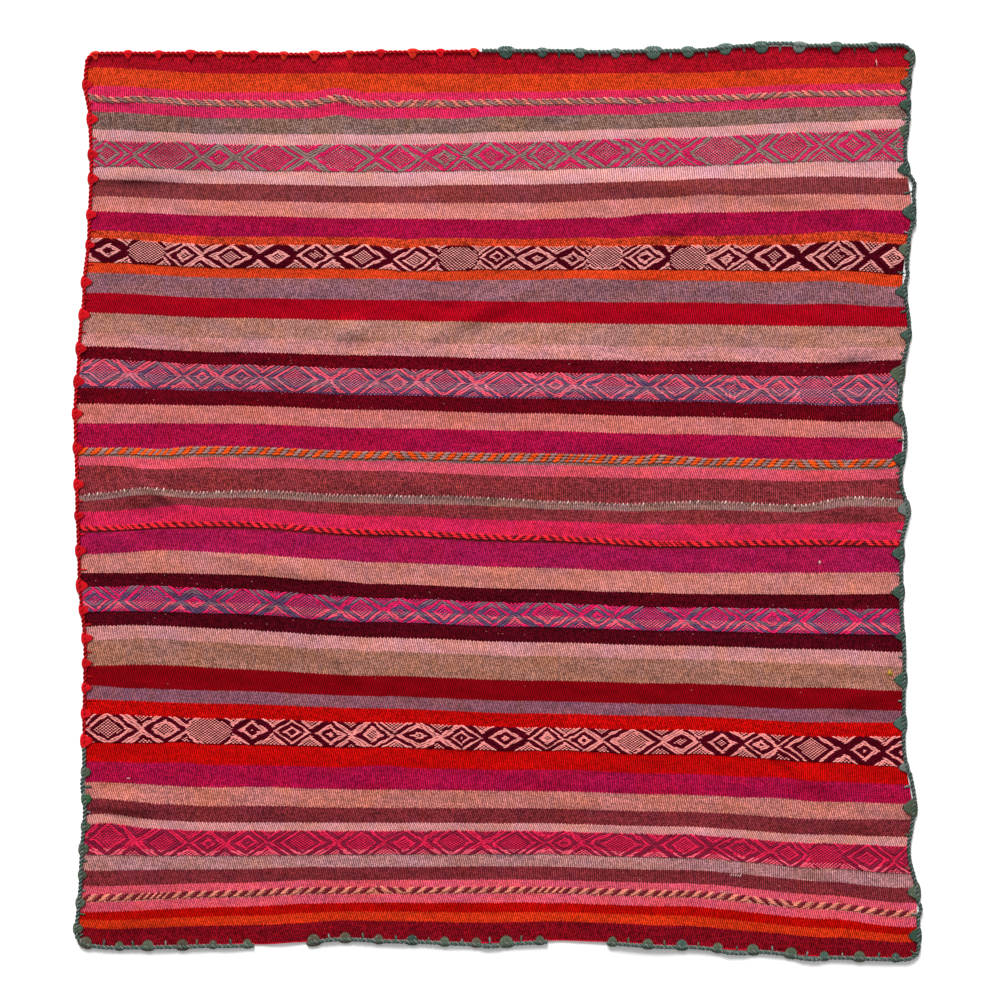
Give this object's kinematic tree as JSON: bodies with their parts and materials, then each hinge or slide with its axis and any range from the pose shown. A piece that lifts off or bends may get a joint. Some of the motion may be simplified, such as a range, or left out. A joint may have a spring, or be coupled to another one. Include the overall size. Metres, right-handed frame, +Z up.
{
  "type": "woven blanket",
  "caption": "Striped woven blanket of two panels sewn along the middle, laid out flat on a surface, with a worked yarn edging of cord and small knots.",
  "frame": {"origin": "centre of the blanket's plan outline, on the surface it lies on", "axes": "+X along the stripes, +Y across the stripes towards the panel with the red edging, +Z up off the surface"},
  "size_m": [1.534, 1.6615, 0.0108],
  "materials": {
    "wool_upper": "matt hand-spun wool in stripes",
    "wool_lower": "matt hand-spun wool in stripes",
    "seam_yarn": "matt two-ply yarn",
    "yarn_red": "matt yarn",
    "yarn_green": "matt yarn"
  },
  "bodies": {
    "root": {"panel_upper": "wool_upper", "panel_lower": "wool_lower", "join_stitching": "seam_yarn", "edging_red": "yarn_red", "edging_green_right": "yarn_green", "edging_green_middle": "yarn_green", "edging_green_left": "yarn_green"}
  },
  "joints": []
}
